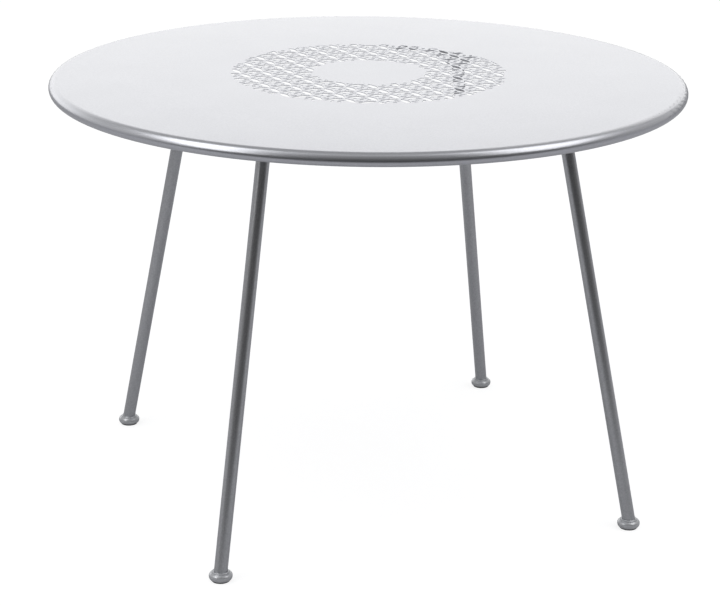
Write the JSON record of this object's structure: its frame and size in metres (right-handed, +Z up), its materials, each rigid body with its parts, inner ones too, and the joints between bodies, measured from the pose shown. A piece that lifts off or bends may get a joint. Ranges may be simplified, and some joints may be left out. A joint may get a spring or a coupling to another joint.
{
  "type": "round garden table",
  "caption": "Round metal garden table: domed sheet top with a rolled edge and a ring of punched lace, on splayed round legs with turned feet.",
  "frame": {"origin": "on the floor, under the middle of the round top", "axes": "+Z up; the legs stand at 45 degrees between the X and Y axes; -Y is the front as seen in the picture"},
  "size_m": [1.1, 1.1, 0.75],
  "materials": {
    "coated_sheet": "satin metallic grey powder coat on steel sheet",
    "coated_tube": "satin metallic grey powder coat on steel tube",
    "coated_frame": "satin metallic grey powder coat on steel sections",
    "coated_foot": "satin metallic grey powder coat on turned steel",
    "plain_steel": "bright zinc-plated steel",
    "glide_plastic": "matt black plastic"
  },
  "bodies": {
    "root": {"table_top": "coated_sheet", "rim_hoop": "coated_tube", "front_left_channel": "coated_frame", "front_right_channel": "coated_frame", "back_right_channel": "coated_frame", "back_left_channel": "coated_frame", "threaded_bosses": "plain_steel", "front_left_bar": "coated_frame", "front_right_bar": "coated_frame", "back_right_bar": "coated_frame", "back_left_bar": "coated_frame", "front_left_leg": "coated_tube", "front_right_leg": "coated_tube", "back_right_leg": "coated_tube", "back_left_leg": "coated_tube", "leg_gussets": "coated_frame", "bar_bolts": "plain_steel", "bolt_washers": "plain_steel", "front_left_foot": "coated_foot", "front_right_foot": "coated_foot", "back_right_foot": "coated_foot", "back_left_foot": "coated_foot", "front_left_glide": "glide_plastic", "front_right_glide": "glide_plastic", "back_right_glide": "glide_plastic", "back_left_glide": "glide_plastic"}
  },
  "joints": []
}
